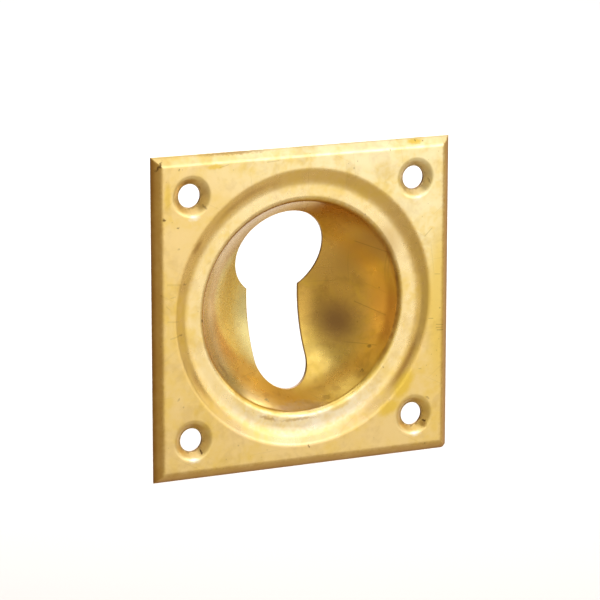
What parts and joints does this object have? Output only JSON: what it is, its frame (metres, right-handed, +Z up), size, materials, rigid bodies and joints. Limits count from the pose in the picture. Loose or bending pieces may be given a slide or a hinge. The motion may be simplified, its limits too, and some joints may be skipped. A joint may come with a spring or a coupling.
{
  "type": "keyhole escutcheon",
  "caption": "Square pressed-brass escutcheon with a sunken bowl, a keyhole cut-out for a profile cylinder and dimpled screw holes; it frames the lock of a sliding or flush door.",
  "frame": {"origin": "centre of the screw-hole square, on the door's surface, which the back of the rim, the land and the dimples touches", "axes": "+Z up the door, the round lobe of the cut-out being the upper one, +Y into the door, so the front faces -Y, and +X to the right as seen from the front"},
  "size_m": [0.06, 0.015, 0.06],
  "materials": {
    "brass": "satin, finely brushed, with light tarnish"
  },
  "bodies": {
    "root": {"escutcheon_plate": "brass"}
  },
  "joints": []
}
